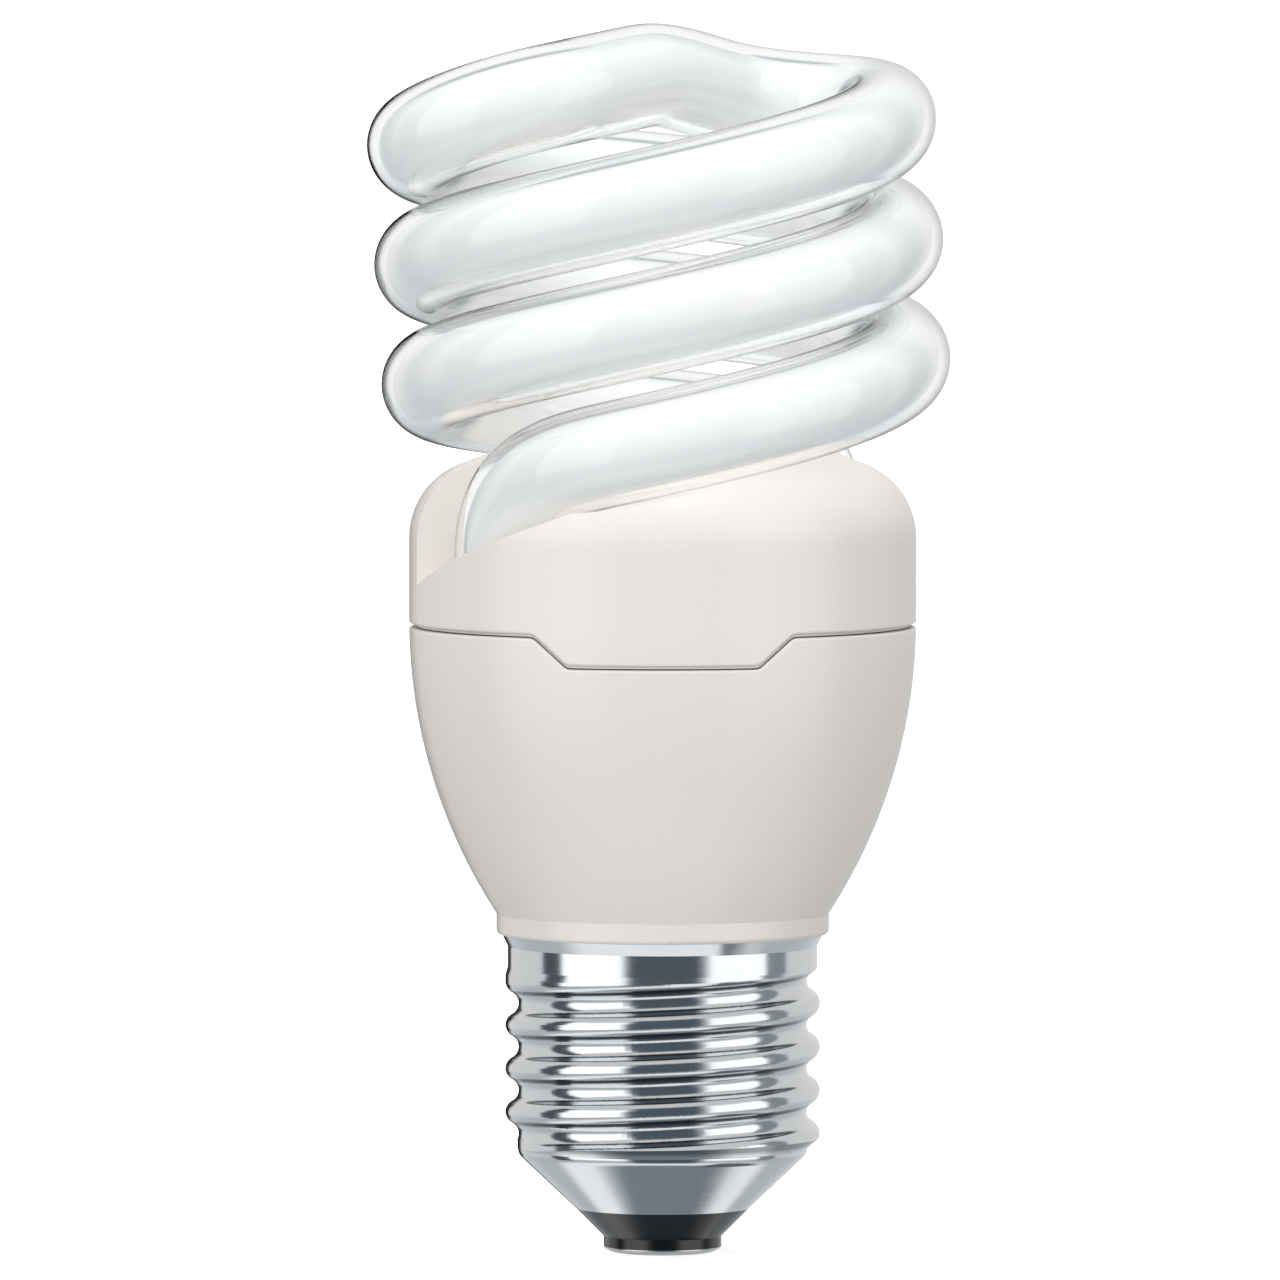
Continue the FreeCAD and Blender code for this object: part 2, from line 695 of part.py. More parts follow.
def transistor(spot):
    x, y = spot
    r = transistor_d / 2
    top = board_z - transistor_lift
    body = Part.makeCylinder(r, transistor_h, Vector(x, y, top - transistor_h))
    body = body.cut(Part.makeBox(2 * r, r, transistor_h, Vector(x - r, y + r / 2, top - transistor_h)))
    return hung(body, [(x - r / 2, y), (x, y), (x + r / 2, y)], top)


def start_thermistor():
    top = board_z - thermistor_lift
    r = thermistor_d / 2
    corner = Vector(thermistor_x - thermistor_t / 2, thermistor_y, top - r)
    disc = Part.makeCylinder(r, thermistor_t, corner, Vector(1, 0, 0))
    spots = [(thermistor_x, thermistor_y - r / 2), (thermistor_x, thermistor_y + r / 2)]
    return hung(disc, spots, top - r)


def axial_part(x, y, diameter, length):
    """Part lying on the board along X, its leads bent down into the board."""
    z = board_top + diameter / 2
    body = Part.makeCylinder(diameter / 2, length, Vector(x - length / 2, y, z), Vector(1, 0, 0))
    ends = length / 2 + diameter / 2
    body = body.makeFillet(diameter / 8, [e for e in body.Edges if e.isClosed()])
    rods = []
    for side in (-1, 1):
        bend_x = x + side * ends
        points = [Vector(x + side * length / 2, y, z), Vector(bend_x, y, z), Vector(bend_x, y, board_z)]
        rods.append(rod(points, lead_d, lead_d))
    return body.fuse(rods), [(x - ends, y), (x + ends, y)]


def fuse_resistor():
    """Fusible resistor hanging in the cap, between the board and the centre contact."""
    body = Part.makeCylinder(fuse_d / 2, fuse_h, Vector(fuse_x, 0, fuse_z))
    body = body.makeFillet(fuse_d / 6, [e for e in body.Edges if e.isClosed()])
    bend_z = board_z - core_h
    upper = [Vector(fuse_board_x, 0, board_top + lead_tail), Vector(fuse_board_x, 0, bend_z),
             Vector(fuse_x, 0, fuse_z + fuse_h + fuse_tail_up), Vector(fuse_x, 0, fuse_z + fuse_h)]
    lower = [Vector(fuse_x, 0, fuse_z), Vector(fuse_x, 0, fuse_z - fuse_tail_down), Vector(0, 0, cone_top_z),
             Vector(0, 0, lead_foot_z)]
    return body.fuse([rod(upper, lead_d), rod(lower, lead_d)]), [(fuse_board_x, 0)]


def shell_lead():
    """Wire from the board to the inside of the screw shell."""
    x, y = shell_lead_spot
    outward = Vector(x, y, 0).normalize()
    end = outward * (minor_r - cap_sheet - lead_d / 2) + up * (collar_z - neck_lap - shell_lead_drop)
    knee = Vector(x, y, collar_z - neck_lap + shell_lead_rise)
    return rod([Vector(x, y, board_top + lead_tail), knee, end], lead_d), [(x, y)]


def assemble():
    """All pieces by node name."""
    curve = tube_curve()
    pieces = {
        "glass_spiral": glass_spiral(curve),
        "upper_cover": upper_cover(curve),
        "lower_housing": lower_housing(),
        "screw_shell": screw_shell(),
        "cap_insulator": cap_insulator(),
        "centre_contact": centre_contact(),
        "tube_cement_front": tube_cement(),
        "tube_cement_rear": half_turn(tube_cement()),
    }
    wires, wire_spots = lead_in_wires()
    pieces["lead_in_wires_front"] = wires
    pieces["lead_in_wires_rear"] = half_turn(wires)
    spots = wire_spots + [(-x, -y) for x, y in wire_spots]
    core, bobbin, winding, choke_spots = choke()
    toroid, toroid_windings, toroid_spots = drive_transformer()
    pieces.update(choke_core=core, choke_bobbin=bobbin, choke_winding=winding)
    pieces.update(toroid_core=toroid, toroid_windings=toroid_windings)
    spots += choke_spots + toroid_spots
    fitted = {
        "smoothing_capacitor": smoothing_capacitor(),
        "resonant_capacitor": film_capacitor(film_y),
        "blocking_capacitor": film_capacitor(-film_y),
        "transistor_high": transistor(transistor_spots[0]),
        "transistor_low": transistor(transistor_spots[1]),
        "start_thermistor": start_thermistor(),
        "fuse_resistor": fuse_resistor(),
        "shell_lead": shell_lead(),
    }
    for i in range(4):
        fitted["rectifier_diode_%d" % (i + 1)] = axial_part(0, (i - 1.5) * diode_spacing, diode_d, diode_h)
    for i, (x, y) in enumerate(resistor_spots):
        fitted["resistor_%d" % (i + 1)] = axial_part(x, y, resistor_d, resistor_h)
    for name, (shape, leads) in fitted.items():
        pieces[name] = shape
        spots += leads
    pieces["circuit_board"] = circuit_board(spots)
    return pieces


os.makedirs("parts", exist_ok=True)
for node, shape in assemble().items():
    shape.exportStep("parts/%s.step" % node)
    print(node, len(shape.Solids), round(shape.Volume, 1))
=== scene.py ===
import bpy
import bmesh
import math
from mathutils import Matrix, Vector


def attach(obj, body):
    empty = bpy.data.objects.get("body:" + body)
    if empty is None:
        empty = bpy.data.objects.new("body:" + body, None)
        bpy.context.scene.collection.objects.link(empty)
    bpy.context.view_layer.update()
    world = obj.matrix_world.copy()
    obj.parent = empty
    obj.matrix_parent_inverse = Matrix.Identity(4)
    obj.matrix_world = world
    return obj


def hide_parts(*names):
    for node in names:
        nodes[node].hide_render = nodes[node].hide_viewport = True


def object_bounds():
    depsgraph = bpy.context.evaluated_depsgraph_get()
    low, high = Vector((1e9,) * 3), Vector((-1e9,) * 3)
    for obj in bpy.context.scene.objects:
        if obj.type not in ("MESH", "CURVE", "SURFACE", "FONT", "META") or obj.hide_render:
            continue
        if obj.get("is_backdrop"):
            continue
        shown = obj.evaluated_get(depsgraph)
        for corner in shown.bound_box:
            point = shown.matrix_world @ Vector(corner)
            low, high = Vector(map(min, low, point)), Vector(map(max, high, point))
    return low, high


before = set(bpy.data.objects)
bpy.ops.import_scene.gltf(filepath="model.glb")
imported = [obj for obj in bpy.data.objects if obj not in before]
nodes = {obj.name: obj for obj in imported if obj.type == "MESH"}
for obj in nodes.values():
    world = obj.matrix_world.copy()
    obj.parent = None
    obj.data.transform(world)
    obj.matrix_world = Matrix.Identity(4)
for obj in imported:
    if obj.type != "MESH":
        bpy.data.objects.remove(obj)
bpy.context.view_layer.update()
scene = bpy.context.scene
mm = 0.001
print("frame loaded:", len(nodes), "CAD nodes")


def linear(hexColour, level=1.0):
    # sRGB hex to linear, as Blender's colour sockets want it
    parts = [int(hexColour[i:i + 2], 16) / 255 for i in (1, 3, 5)]
    return [level * (c / 12.92 if c <= 0.04045 else ((c + 0.055) / 1.055) ** 2.4) for c in parts] + [1.0]


def addNode(tree, kind, settings=None, links=None):
    # one node, with its settings by property or socket name, and its input links
    node = tree.nodes.new(kind)
    for key, value in (settings or {}).items():
        if isinstance(key, str) and key in node.bl_rna.properties:
            setattr(node, key, value)
        else:
            node.inputs[key].default_value = value
    for key, source in (links or {}).items():
        tree.links.new(source, node.inputs[key])
    return node


# Glass spiral: hollow drawn tube with a white lining
spiral = {
    "tubeMm": 8.7, "skinMm": 0.01, "wallMm": 0.95, "liningGapMm": 0.04,
    "spiralMm": 47.4, "turnGapMm": 1.27, "coilZ": 73.46, "lean": 3.45, "leanPivotZ": 78.0,
    "coilStart": 262.0, "coilEnd": 720.0, "bridgeFlat": 14, "bridgeSkew": 0.8, "bridgeTurn": 135.0,
    "legAngle": 211.4, "legRadius": 15.0, "legZ": 56.5, "legTilt": 6.7, "legLength": 3.0,
    "bendCoil": 7.0, "bendLeg": 9.0,
    "pinchWide": 8.4, "pinchThick": 2.6, "pinchTaper": 3.2, "pinchTab": 1.6,
    "sides": 56, "stepMm": 0.8,
    "legSteps": 12, "bendSteps": 80, "coilSteps": 700, "bridgeSteps": 160, "pinchSteps": 10,
}
coilRadius = (spiral["spiralMm"] - spiral["tubeMm"]) / 2
coilPitch = 2 * (spiral["tubeMm"] + spiral["turnGapMm"])


def turnZ(degrees):
    return Matrix.Rotation(math.radians(degrees), 3, "Z")


def leaned(point):
    pivot = Vector((0, 0, spiral["leanPivotZ"]))
    return Matrix.Rotation(math.radians(-spiral["lean"]), 3, "Y") @ (point - pivot) + pivot


def helixPoint(angle):
    a = math.radians(angle)
    height = spiral["coilZ"] + coilPitch * (angle - 360) / 360
    return Vector((coilRadius * math.cos(a), coilRadius * math.sin(a), height))


def bridgePoint(share, skew):
    # half of the S over the top: it turns in from the last coil, then runs straight to the axis
    turned = math.radians(spiral["bridgeTurn"])
    bend = coilRadius * math.cos(turned) / (math.cos(turned) - 1)
    bendEnd = Vector((coilRadius - bend + bend * math.cos(turned), bend * math.sin(turned), 0))
    done = share * (bend * turned + bendEnd.length)
    if done < bend * turned:
        a = done / bend
        point = Vector((coilRadius - bend + bend * math.cos(a), bend * math.sin(a), 0))
    else:
        point = bendEnd * (1 - (done - bend * turned) / bendEnd.length)
    power = spiral["bridgeFlat"] + 1
    rise = coilPitch / 4 * (share - share ** power / power) + skew * math.sin(math.pi * share) ** 2
    return point + Vector((0, 0, helixPoint(spiral["coilEnd"]).z + rise))


def legFrame(turn):
    outward = turnZ(spiral["legAngle"] + turn) @ Vector((1, 0, 0))
    tilt = math.radians(spiral["legTilt"])
    down = outward * -math.sin(tilt) - Vector((0, 0, math.cos(tilt)))
    return outward * spiral["legRadius"] + Vector((0, 0, spiral["legZ"])), down, outward


def strandPoints(turn):
    # one leg, its bend into the coil, the coil and half of the bridge
    top, down, outward = legFrame(turn)
    spin = turnZ(turn)
    start = leaned(spin @ helixPoint(spiral["coilStart"]))
    back = (start - leaned(spin @ helixPoint(spiral["coilStart"] + 1))).normalized()
    poles = [top, top - down * spiral["bendLeg"], start + back * spiral["bendCoil"], start]
    legSteps, bendSteps, coilSteps = spiral["legSteps"], spiral["bendSteps"], spiral["coilSteps"]
    points = [top + down * (spiral["legLength"] * (1 - i / legSteps)) for i in range(legSteps)]
    for i in range(bendSteps):
        t = i / bendSteps
        weights = ((1 - t) ** 3, 3 * t * (1 - t) ** 2, 3 * t * t * (1 - t), t ** 3)
        points.append(sum((p * w for p, w in zip(poles, weights)), Vector()))
    span = spiral["coilEnd"] - spiral["coilStart"]
    angles = [spiral["coilStart"] + span * i / coilSteps for i in range(coilSteps)]
    points += [leaned(spin @ helixPoint(angle)) for angle in angles]
    skew = spiral["bridgeSkew"] if turn else -spiral["bridgeSkew"]
    bridgeSteps = spiral["bridgeSteps"]
    points += [leaned(spin @ bridgePoint(i / bridgeSteps, skew)) for i in range(bridgeSteps)]
    return points


def evenPoints(points, step):
    # the same line with points a step apart
    lengths = [0.0]
    for a, b in zip(points, points[1:]):
        lengths.append(lengths[-1] + (b - a).length)
    count = round(lengths[-1] / step)
    result, i = [], 0
    for k in range(count + 1):
        goal = lengths[-1] * k / count
        while i < len(points) - 2 and lengths[i + 1] < goal:
            i += 1
        share = (goal - lengths[i]) / (lengths[i + 1] - lengths[i])
        result.append(points[i].lerp(points[i + 1], share))
    return result


def tubeRings(line, first, last, radius):
    # rings along the line; first and last give the width direction at each end
    tangents = []
    for i in range(len(line)):
        tangents.append((line[min(i + 1, len(line) - 1)] - line[max(i - 1, 0)]).normalized())
    wide, frames = first, []
    for tangent in tangents:
        wide = (wide - tangent * wide.dot(tangent)).normalized()
        frames.append((wide, tangent.cross(wide)))
    endWide, endThick = frames[-1]
    twist = math.atan2(last.dot(endThick), last.dot(endWide))
    rings = []
    for i, (wide, thick) in enumerate(frames):
        turn = twist * i / (len(frames) - 1)
        w = wide * math.cos(turn) + thick * math.sin(turn)
        t = thick * math.cos(turn) - wide * math.sin(turn)
        rings.append((line[i], w, t, radius, radius))
    return rings


def skinRings(mesh, rings, inward=False):
    # quads between the rings, closed at both ends
    sides, loops = spiral["sides"], []
    for centre, w, t, rw, rt in rings:
        loop = []
        for k in range(sides):
            a = 2 * math.pi * k / sides
            loop.append(mesh.verts.new((centre + w * (rw * math.cos(a)) + t * (rt * math.sin(a))) * mm))
        loops.append(loop)
    for low, high in zip(loops, loops[1:]):
        for k in range(sides):
            n = (k + 1) % sides
            quad = (low[k], low[n], high[n], high[k])
            mesh.faces.new(quad[::-1] if inward else quad)
    for loop, flip in ((loops[0], not inward), (loops[-1], inward)):
        centre = mesh.verts.new(sum((v.co for v in loop), Vector()) / sides)
        for k in range(sides):
            n = (k + 1) % sides
            mesh.faces.new((loop[n], loop[k], centre) if flip else (loop[k], loop[n], centre))


def meshPiece(name, mesh):
    for face in mesh.faces:
        face.smooth = True
    data = bpy.data.meshes.new(name)
    mesh.to_mesh(data)
    mesh.free()
    piece = bpy.data.objects.new(name, data)
    scene.collection.objects.link(piece)
    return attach(piece, "root")


frontTop, frontDown, frontOut = legFrame(0)
rearTop, rearDown, rearOut = legFrame(180)
frontWide, rearWide = frontDown.cross(frontOut), rearDown.cross(rearOut)
bridgeMiddle = [leaned(bridgePoint(1.0, 0.0))]
tubeLine = evenPoints(strandPoints(0) + bridgeMiddle + strandPoints(180)[::-1], spiral["stepMm"])
tubeRadius = spiral["tubeMm"] / 2 - spiral["skinMm"]  # keeps inside the CAD box
boreRadius = tubeRadius - spiral["wallMm"]


def pinchRings(foot, down, wide):
    # the leg's end flattens to its sealed tab
    thick, rings, steps = down.cross(wide), [], spiral["pinchSteps"]
    for i in range(1, steps + 1):
        ease = (i / steps) ** 2 * (3 - 2 * i / steps)
        rw = tubeRadius + (spiral["pinchWide"] / 2 - tubeRadius) * ease
        rt = tubeRadius + (spiral["pinchThick"] / 2 - tubeRadius) * ease
        rings.append((foot + down * (spiral["pinchTaper"] * i / steps), wide, thick, rw, rt))
    tab = foot + down * (spiral["pinchTaper"] + spiral["pinchTab"])
    rings.append((tab, wide, thick, spiral["pinchWide"] / 2, spiral["pinchThick"] / 2))
    return rings


glassMesh = bmesh.new()
outerRings = tubeRings(tubeLine, frontWide, rearWide, tubeRadius)
frontEnd = [(c, w, -t, rw, rt) for c, w, t, rw, rt in pinchRings(tubeLine[0], frontDown, frontWide)]
skinRings(glassMesh, frontEnd[::-1] + outerRings + pinchRings(tubeLine[-1], rearDown, rearWide))
skinRings(glassMesh, tubeRings(tubeLine, frontWide, rearWide, boreRadius), inward=True)
glassTube = meshPiece("glassTube", glassMesh)
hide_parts("glass_spiral")
# clear glass lets soft light through to its lining
glassTube.visible_shadow = glassTube.visible_diffuse = False

liningMesh = bmesh.new()
liningRadius = boreRadius - spiral["liningGapMm"]
skinRings(liningMesh, tubeRings(tubeLine[1:-1], frontWide, rearWide, liningRadius))
whiteLining = meshPiece("whiteLining", liningMesh)
# the turns don't shade each other, so that the white stays even
whiteLining.visible_shadow = whiteLining.visible_diffuse = False
print("glass spiral:", len(tubeLine), "rings")


# Materials
grainSpan = (0.3, 0.7)  # where most of the noise lies


def newFinish(name, grainMm, colours, roughness, reliefMm, stretch=(1, 1, 1), **sockets):
    # grain of a real size shifts colour and roughness a little and stands up as relief
    material = bpy.data.materials.new(name)
    material.use_nodes = True
    tree = material.node_tree
    tree.nodes.clear()
    place = addNode(tree, "ShaderNodeTexCoord").outputs["Object"]
    drawnOut = addNode(tree, "ShaderNodeMapping", {"Scale": stretch}, {"Vector": place})
    grain = addNode(tree, "ShaderNodeTexNoise", {"Scale": 1 / (grainMm * mm), "Detail": 3.0},
                    {"Vector": drawnOut.outputs[0]}).outputs[0]
    tint = addNode(tree, "ShaderNodeValToRGB", links={"Fac": grain})
    for stop, spot, colour in zip(tint.color_ramp.elements, grainSpan, colours):
        stop.position, stop.color = spot, linear(colour)
    polish = addNode(tree, "ShaderNodeMapRange",
                     {"From Min": grainSpan[0], "From Max": grainSpan[1],
                      "To Min": roughness[0], "To Max": roughness[1]}, {"Value": grain})
    shader = addNode(tree, "ShaderNodeBsdfPrincipled",
                     {key.replace("_", " "): value for key, value in sockets.items()},
                     {"Base Color": tint.outputs[0], "Roughness": polish.outputs[0]})
    if reliefMm:
        relief = addNode(tree, "ShaderNodeBump", {"Strength": 1.0, "Distance": reliefMm * mm},
                         {"Height": grain})
        tree.links.new(relief.outputs[0], shader.inputs["Normal"])
    addNode(tree, "ShaderNodeOutputMaterial", links={"Surface": shader.outputs[0]})
    return material, tree, shader


# Soda-lime glass, drawn: clear, with the faintest waviness left from drawing
drawnGlass, tree, shader = newFinish("sodaLimeGlassDrawn", 6.0, ("#FCFEFE", "#FFFFFF"), (0.0, 0.01), 0.0004,
                                     IOR=1.5, Transmission_Weight=1.0)
# painted shade: greyer where the wall is seen edge on, for the thin dark lines along the tube, standing in
# for dark surroundings bent round its edge
paintedGlassEdge = {"from": 0.68, "to": 0.95, "colour": "#5E676B"}
edge = addNode(tree, "ShaderNodeLayerWeight", {"Blend": 0.5}).outputs["Facing"]
paintedEdgeMask = addNode(tree, "ShaderNodeMapRange",
                {"interpolation_type": "SMOOTHSTEP", "From Min": paintedGlassEdge["from"],
                 "From Max": paintedGlassEdge["to"]}, {"Value": edge})
# mixes the painted edge shade into the glass colour
paintedEdgeShade = addNode(tree, "ShaderNodeMix", {"data_type": "RGBA", 7: linear(paintedGlassEdge["colour"])},
               {0: paintedEdgeMask.outputs[0], 6: shader.inputs["Base Color"].links[0].from_socket})
tree.links.new(paintedEdgeShade.outputs[2], shader.inputs["Base Color"])

# Phosphor powder, settled from a slurry: even cool white with a hint of sheen behind the glass
phosphor, tree, shader = newFinish("phosphorPowderCoated", 0.5, ("#ECEEEF", "#EEF0F1"), (0.30, 0.33), 0,
                                   Metallic=0.08)

# PBT, moulded in a fine spark-eroded tool: satin warm grey
mouldedPbt, tree, shader = newFinish("pbtMouldedSatin", 0.5, ("#E3DED9", "#E4DFDA"), (0.28, 0.30), 0.0003,
                                     IOR=1.5)

# Nickel-plated brass, rolled: bright mirror with faint turned lines round the cap
rolledNickel, tree, shader = newFinish("nickelPlatedBrassRolled", 1.5, ("#D6D9DB", "#DADCDE"), (0.12, 0.15),
                                       0.0008, (1, 1, 7), Metallic=1.0)
# painted shade: the colour goes dark on the thread's steep undersides, for the dark lines under its crests
paintedThreadShade = {"steepFrom": -0.6, "steepTo": -0.85, "fromZMm": 8.8, "fullZMm": 9.2, "colour": "#23282D"}
normal = addNode(tree, "ShaderNodeNewGeometry").outputs["Normal"]
place = addNode(tree, "ShaderNodeTexCoord").outputs["Object"]
normalZ = addNode(tree, "ShaderNodeSeparateXYZ", links={0: normal}).outputs[2]
placeZ = addNode(tree, "ShaderNodeSeparateXYZ", links={0: place}).outputs[2]
steep = addNode(tree, "ShaderNodeMapRange",
                {"interpolation_type": "SMOOTHSTEP", "From Min": paintedThreadShade["steepFrom"],
                 "From Max": paintedThreadShade["steepTo"]}, {"Value": normalZ})
onThread = addNode(tree, "ShaderNodeMapRange", {"From Min": paintedThreadShade["fromZMm"] * mm,
                                                "From Max": paintedThreadShade["fullZMm"] * mm}, {"Value": placeZ})
paintedShadeMask = addNode(tree, "ShaderNodeMath", {"operation": "MULTIPLY"},
                {0: steep.outputs[0], 1: onThread.outputs[0]})
# mixes the painted thread shade into the nickel colour
paintedShadeMix = addNode(tree, "ShaderNodeMix", {"data_type": "RGBA", 7: linear(paintedThreadShade["colour"])},
                 {0: paintedShadeMask.outputs[0], 6: shader.inputs["Base Color"].links[0].from_socket})
tree.links.new(paintedShadeMix.outputs[2], shader.inputs["Base Color"])

# Vitrite, pressed: glossy black glass
pressedVitrite, tree, shader = newFinish("vitriteGlassPressed", 1.2, ("#060709", "#090B0D"), (0.20, 0.26),
                                         0.001, IOR=1.55)

# Tinned brass, stamped: soft grey shine
stampedTin, tree, shader = newFinish("tinnedBrassStamped", 0.8, ("#BDBDBA", "#D2D2CF"), (0.22, 0.34), 0.005,
                                     Metallic=1.0)

plainFinishes = {
    # name: grain in mm, two colours, roughness, relief in mm, stretch, metallic
    "silicateCementCured": (0.5, ("#E4E2DA", "#EEECE6"), (0.85, 0.95), 0.02, (1, 1, 1), 0.0),
    "tinnedCopperDrawn": (0.4, ("#B5B6B4", "#CFCFCC"), (0.25, 0.35), 0.002, (1, 1, 4), 1.0),
    "paperPhenolicPunched": (0.8, ("#9A7438", "#AF8848"), (0.55, 0.7), 0.006, (1, 1, 1), 0.0),
    "ferriteSintered": (0.4, ("#34353A", "#45464B"), (0.6, 0.75), 0.008, (1, 1, 1), 0.0),
    "phenolicMouldedBlack": (0.5, ("#1A1A1B", "#222223"), (0.4, 0.55), 0.005, (1, 1, 1), 0.0),
    "enamelledCopperWound": (0.5, ("#9C4A1F", "#C4703A"), (0.25, 0.4), 0.03, (0.3, 0.3, 6), 1.0),
    "pvcSleeveShrunk": (1.5, ("#141A2A", "#1B2236"), (0.25, 0.35), 0.003, (1, 1, 1), 0.0),
    "epoxyDippedRed": (1.0, ("#7E2A1A", "#93351F"), (0.2, 0.3), 0.01, (1, 1, 1), 0.0),
    "epoxyMouldedBlack": (0.4, ("#161616", "#1E1E1E"), (0.55, 0.7), 0.005, (1, 1, 1), 0.0),
    "lacquerDippedBlue": (0.6, ("#6A93A0", "#7BA4B0"), (0.45, 0.6), 0.006, (1, 1, 1), 0.0),
    "lacquerDippedGreen": (0.6, ("#47633F", "#55754B"), (0.45, 0.6), 0.006, (1, 1, 1), 0.0),
}
plain = {}
for name, (grain, colours, roughness, relief, stretch, metallic) in plainFinishes.items():
    plain[name], tree, shader = newFinish(name, grain, colours, roughness, relief, stretch, Metallic=metallic)

wears = {
    "upper_cover": mouldedPbt, "lower_housing": mouldedPbt, "screw_shell": rolledNickel,
    "cap_insulator": pressedVitrite, "centre_contact": stampedTin, "glass_spiral": drawnGlass,
    "tube_cement": plain["silicateCementCured"], "lead_in": plain["tinnedCopperDrawn"],
    "shell_lead": plain["tinnedCopperDrawn"], "circuit_board": plain["paperPhenolicPunched"],
    "choke_core": plain["ferriteSintered"], "toroid_core": plain["ferriteSintered"],
    "choke_bobbin": plain["phenolicMouldedBlack"], "choke_winding": plain["enamelledCopperWound"],
    "toroid_windings": plain["enamelledCopperWound"], "smoothing_capacitor": plain["pvcSleeveShrunk"],
    "resonant_capacitor": plain["epoxyDippedRed"], "blocking_capacitor": plain["epoxyDippedRed"],
    "transistor": plain["epoxyMouldedBlack"], "rectifier": plain["epoxyMouldedBlack"],
    "start_thermistor": plain["lacquerDippedGreen"], "fuse_resistor": plain["lacquerDippedBlue"],
    "resistor": plain["lacquerDippedBlue"],
}
for name, piece in nodes.items():
    finish = next(wears[start] for start in wears if name.startswith(start))
    piece.data.materials.clear()
    piece.data.materials.append(finish)
glassTube.data.materials.append(drawnGlass)
whiteLining.data.materials.append(phosphor)
print("materials:", len(bpy.data.materials))


# Studio
studio = {
    "aimMm": (-1.89, 0.0, 51.06), "distanceMm": 1600.0, "elevation": 3.2, "frameMm": 106.5, "sensorMm": 36.0,
    "clipM": (0.1, 100.0),
    "surround": ("#FFFFFF", 0.8),
    # soft lamps: azimuth, elevation, distance in m, size in m, watts
    "lamps": (("lampTop", 10, 82, 1.2, 0.7, 5.8), ("lampFront", 0, 12, 1.5, 0.5, 6.8)),
    # what stands round the bulb: azimuth and elevation ranges seen from it, soft edge, colour, level
    "cards": (
        ("ground", (-180, 180), (-90, -18), 14, "#C4CACE", 1.0),
        ("lowStrip", (-155, 155), (-62, -44), 4, "#FFFFFF", 1.1),
        ("underside", (-180, 180), (-90, -68), 4, "#838D94", 1.0),
        ("undersideRight", (58, 133), (-72, -47), 4, "#656E76", 1.0),
        ("overhead", (-180, 180), (34, 90), 16, "#FFFFFF", 0.75),
        ("boxLeft", (-81, -28), (-20, 34), 3, "#FFFFFF", 1.5),
        ("boxRight", (35, 84), (-20, 34), 4, "#FFFFFF", 1.45),
        ("front", (-28, 31), (-42, 45), 6, "#55606A", 1.0),
        ("stripLeft", (-101, -82), (-30, 40), 2, "#4E565E", 1.0),
        ("stripRight", (84, 105), (-30, 40), 2, "#8E979C", 1.0),
        ("backLeft", (-185, -156), (-14, 12), 3, "#20262B", 1.0),
    ),
    # the same for the soft light that falls on matt surfaces
    "fill": ("#FFFFFF", 0.86),
    "fillCards": (
        ("fillLeft", (-118, -52), (-60, 60), 16, "#FFFFFF", 0.74),
        ("fillRight", (48, 128), (-60, 60), 16, "#FFFFFF", 0.48),
        ("fillGround", (-180, 180), (-90, -24), 14, "#FFFFFF", 0.54),
    ),
    # what the clear glass shows: white, with a flag in degrees off the backdrop and one in elevation
    "backdropFlag": ((44, 62), 6, "#BDC3C6"),
    "lowerFlag": ((-110, -24), 16, "#CFD7DB"),
}

camera = bpy.data.objects.new("camera", bpy.data.cameras.new("camera"))
scene.collection.objects.link(camera)
aim = Vector(studio["aimMm"]) * mm
rise = math.radians(studio["elevation"])
camera.location = aim + Vector((0, -math.cos(rise), math.sin(rise))) * studio["distanceMm"] * mm
camera.rotation_euler = (aim - camera.location).to_track_quat("-Z", "Y").to_euler()
camera.data.sensor_width = studio["sensorMm"]
camera.data.lens = studio["sensorMm"] * studio["distanceMm"] / studio["frameMm"]
camera.data.clip_start, camera.data.clip_end = studio["clipM"]
scene.camera = camera

world = bpy.data.worlds.new("studio")
scene.world = world
world.use_nodes = True
tree = world.node_tree
tree.nodes.clear()
direction = addNode(tree, "ShaderNodeTexCoord").outputs["Generated"]
axes = addNode(tree, "ShaderNodeSeparateXYZ", links={0: direction})
backward = addNode(tree, "ShaderNodeMath", {"operation": "MULTIPLY", 1: -1.0}, {0: axes.outputs[1]})
turn = addNode(tree, "ShaderNodeMath", {"operation": "ARCTAN2"}, {0: axes.outputs[0], 1: backward.outputs[0]})
azimuth = addNode(tree, "ShaderNodeMath", {"operation": "DEGREES"}, {0: turn.outputs[0]}).outputs[0]
lift = addNode(tree, "ShaderNodeMath", {"operation": "ARCSINE"}, {0: axes.outputs[2]})
elevation = addNode(tree, "ShaderNodeMath", {"operation": "DEGREES"}, {0: lift.outputs[0]}).outputs[0]
off = addNode(tree, "ShaderNodeMath", {"operation": "ARCCOSINE"}, {0: axes.outputs[1]})
offAxis = addNode(tree, "ShaderNodeMath", {"operation": "DEGREES"}, {0: off.outputs[0]}).outputs[0]


def softRange(value, low, high, soft):
    # 1 between low and high, with soft edges
    up = addNode(tree, "ShaderNodeMapRange", {"interpolation_type": "SMOOTHSTEP", "From Min": low - soft,
                                              "From Max": low + soft}, {"Value": value})
    down = addNode(tree, "ShaderNodeMapRange", {"interpolation_type": "SMOOTHSTEP", "From Min": high - soft,
                                                "From Max": high + soft, "To Min": 1.0, "To Max": 0.0},
                   {"Value": value})
    both = addNode(tree, "ShaderNodeMath", {"operation": "MULTIPLY"}, {0: up.outputs[0], 1: down.outputs[0]})
    return both.outputs[0]


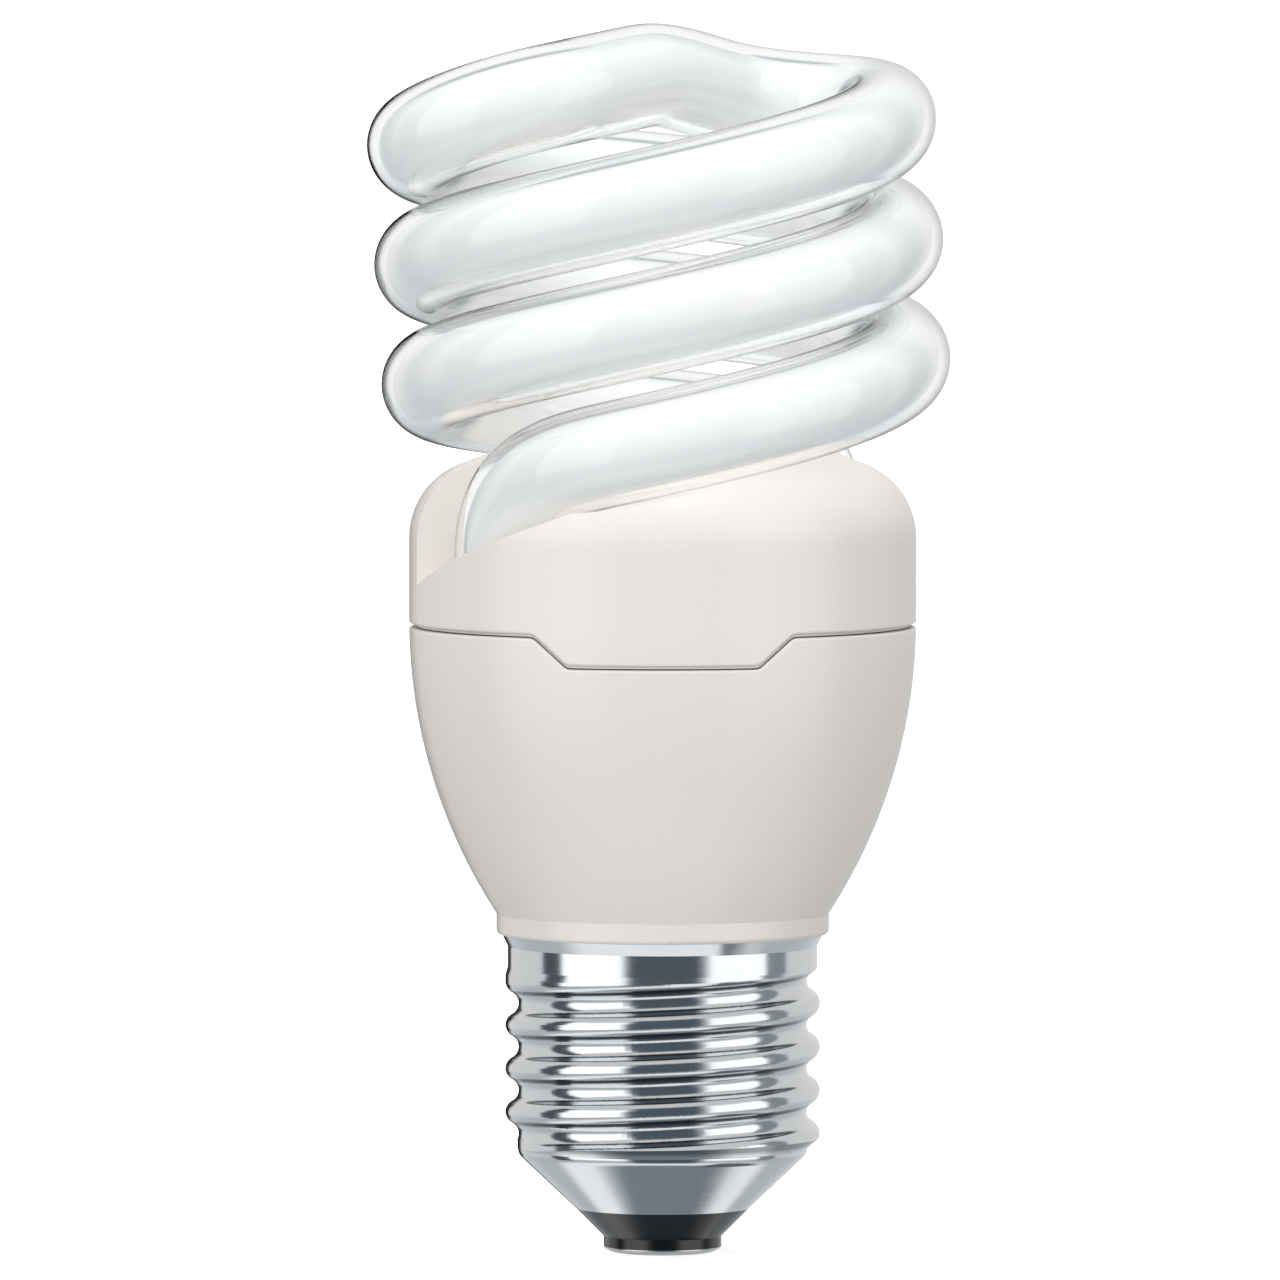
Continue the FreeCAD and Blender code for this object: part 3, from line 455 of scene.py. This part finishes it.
def paintRoom(surround, cards):
    # light from all round: the surround with each card laid over it
    seen = None
    for name, (left, right), (low, high), soft, colour, level in cards:
        low -= soft if low <= -90 else 0  # full strength up to the poles
        high += soft if high >= 90 else 0
        mask = softRange(elevation, low, high, soft)
        if right - left < 360:
            across = softRange(azimuth, left, right, soft)
            mask = addNode(tree, "ShaderNodeMath", {"operation": "MULTIPLY"}, {0: mask, 1: across}).outputs[0]
        card = addNode(tree, "ShaderNodeMix",
                       {"data_type": "RGBA", 6: linear(*surround), 7: linear(colour, level)}, {0: mask})
        if seen:
            tree.links.new(seen, card.inputs[6])
        seen = card.outputs[2]
    return seen


room = paintRoom(studio["surround"], studio["cards"])
fill = paintRoom(studio["fill"], studio["fillCards"])
(low, high), soft, colour = studio["backdropFlag"]
glassRoom = addNode(tree, "ShaderNodeMix", {"data_type": "RGBA", 6: linear("#FFFFFF"), 7: linear(colour)},
                    {0: softRange(offAxis, low, high, soft)}).outputs[2]
(low, high), soft, colour = studio["lowerFlag"]
glassRoom = addNode(tree, "ShaderNodeMix", {"data_type": "RGBA", 7: linear(colour)},
                    {0: softRange(elevation, low, high, soft), 6: glassRoom}).outputs[2]

ray = addNode(tree, "ShaderNodeLightPath")
undiffused = addNode(tree, "ShaderNodeMath", {"operation": "LESS_THAN", 1: 0.5},
                     {0: ray.outputs["Diffuse Depth"]})
refracting = addNode(tree, "ShaderNodeMath", {"operation": "GREATER_THAN", 1: 0.5},
                     {0: ray.outputs["Transmission Depth"]})
throughGlass = addNode(tree, "ShaderNodeMath", {"operation": "MULTIPLY"},
                       {0: refracting.outputs[0], 1: undiffused.outputs[0]})
mirrored = addNode(tree, "ShaderNodeMix", {"data_type": "RGBA"},
                   {0: ray.outputs["Is Glossy Ray"], 6: fill, 7: room})
refracted = addNode(tree, "ShaderNodeMix", {"data_type": "RGBA"},
                    {0: throughGlass.outputs[0], 6: mirrored.outputs[2], 7: glassRoom})
seen = addNode(tree, "ShaderNodeMix", {"data_type": "RGBA", 7: linear("#FFFFFF")},
               {0: ray.outputs["Is Camera Ray"], 6: refracted.outputs[2]})
background = addNode(tree, "ShaderNodeBackground", {"Strength": 1.0}, {"Color": seen.outputs[2]})
addNode(tree, "ShaderNodeOutputWorld", links={"Surface": background.outputs[0]})

for name, side, height, distance, size, watts in studio["lamps"]:
    lamp = bpy.data.objects.new(name, bpy.data.lights.new(name, "AREA"))
    scene.collection.objects.link(lamp)
    lamp.data.shape, lamp.data.size, lamp.data.energy = "DISK", size, watts
    a, e = math.radians(side), math.radians(height)
    toLamp = Vector((math.sin(a) * math.cos(e), -math.cos(a) * math.cos(e), math.sin(e)))
    lamp.location = aim + toLamp * distance
    lamp.rotation_euler = (aim - lamp.location).to_track_quat("-Z", "Y").to_euler()
    lamp.visible_glossy = lamp.visible_transmission = lamp.visible_camera = False

floorSize = {"halfM": 20.0, "glow": 0.6}
floorMesh = bmesh.new()
bmesh.ops.create_grid(floorMesh, x_segments=8, y_segments=8, size=floorSize["halfM"])
floorData = bpy.data.meshes.new("floor")
floorMesh.to_mesh(floorData)
floorMesh.free()
floor = bpy.data.objects.new("floor", floorData)
scene.collection.objects.link(floor)
floor.visible_glossy = floor.visible_transmission = floor.visible_diffuse = False
floor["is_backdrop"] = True

# Paper sweep, matt: white that keeps only a faint shadow
paperSweep, tree, shader = newFinish("paperSweepMatt", 4.0, ("#FAFAFA", "#FFFFFF"), (0.9, 1.0), 0,
                                     Specular_IOR_Level=0.0, Emission_Color=linear("#FFFFFF"))
floorRay = addNode(tree, "ShaderNodeLightPath")
glow = addNode(tree, "ShaderNodeMath", {"operation": "MULTIPLY", 1: floorSize["glow"]},
               {0: floorRay.outputs["Is Camera Ray"]})
tree.links.new(glow.outputs[0], shader.inputs["Emission Strength"])
floor.data.materials.append(paperSweep)
scene.view_settings.view_transform = "Standard"
print("studio ready")

low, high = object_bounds()
